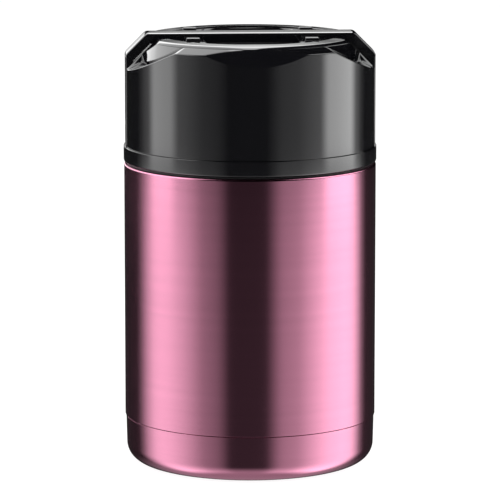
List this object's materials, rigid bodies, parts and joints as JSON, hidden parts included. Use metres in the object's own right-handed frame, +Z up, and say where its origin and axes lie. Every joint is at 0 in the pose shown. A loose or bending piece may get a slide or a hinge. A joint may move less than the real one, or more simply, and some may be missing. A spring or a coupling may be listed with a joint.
{
  "type": "insulated food jar",
  "caption": "Tall round vacuum food jar with a metallic lacquered body, an insulated stopper with a relief button, and a faceted screw-on lid with a pull-up carry strap.",
  "frame": {"origin": "centre of the ground contact circle, under the jar axis", "axes": "+Z up along the jar axis, front towards -Y, the carry strap runs along X"},
  "size_m": [0.1104, 0.1104, 0.1893],
  "materials": {
    "pink_lacquer": "translucent metallic lacquer over brushed steel, glossy",
    "bare_steel": "bare stainless steel, brushed or electropolished",
    "black_gloss": "polished moulded black plastic",
    "black_satin": "fine satin moulded black plastic",
    "grey_plastic": "satin moulded grey plastic",
    "silicone": "translucent soft silicone",
    "foam_white": "closed-cell foam"
  },
  "bodies": {
    "jar": {"outer_shell": "pink_lacquer", "base_cap": "pink_lacquer", "vacuum_plug": "bare_steel", "base_disc": "black_satin", "inner_vessel": "bare_steel", "getter": "bare_steel", "neck_collar": "black_satin"},
    "stopper_ring": {"stopper_seal": "silicone"},
    "stopper": {"stopper_shell": "black_satin", "stopper_base": "black_satin", "stopper_foam": "foam_white", "stopper_cap": "black_satin", "button_spring": "bare_steel"},
    "valve": {"relief_button": "grey_plastic", "valve_stem": "grey_plastic", "valve_seal": "silicone"},
    "lid_ring": {"lid_seal": "silicone"},
    "lid": {"lid_liner": "black_gloss", "lid_shell": "black_gloss", "top_tray": "black_gloss", "handle_pin_left": "bare_steel", "handle_pin_right": "bare_steel"},
    "handle": {"handle_strap": "black_gloss"}
  },
  "joints": [
    {"name": "stopper_lift", "type": "slide", "parent": "jar", "child": "stopper_ring", "axis": [0, 0, 1], "range_m": [0, 0.05]},
    {"name": "stopper_turn", "type": "hinge", "parent": "stopper_ring", "child": "stopper", "pos_m": [0, 0, 0.1472], "axis": [0, 0, 1], "range_deg": [0, 450]},
    {"name": "button_press", "type": "slide", "parent": "stopper", "child": "valve", "axis": [0, 0, -1], "range_m": [0, 0.0025], "stiffness_N_per_m": 300, "springref_m": -0.002, "deforming": ["button_spring"]},
    {"name": "lid_lift", "type": "slide", "parent": "stopper", "child": "lid_ring", "axis": [0, 0, 1], "range_m": [0, 0.06]},
    {"name": "lid_turn", "type": "hinge", "parent": "lid_ring", "child": "lid", "pos_m": [0, 0, 0.14], "axis": [0, 0, 1], "range_deg": [0, 450]},
    {"name": "handle_pull", "type": "slide", "parent": "lid", "child": "handle", "axis": [0, 0, 1], "range_m": [0, 0.018]}
  ]
}
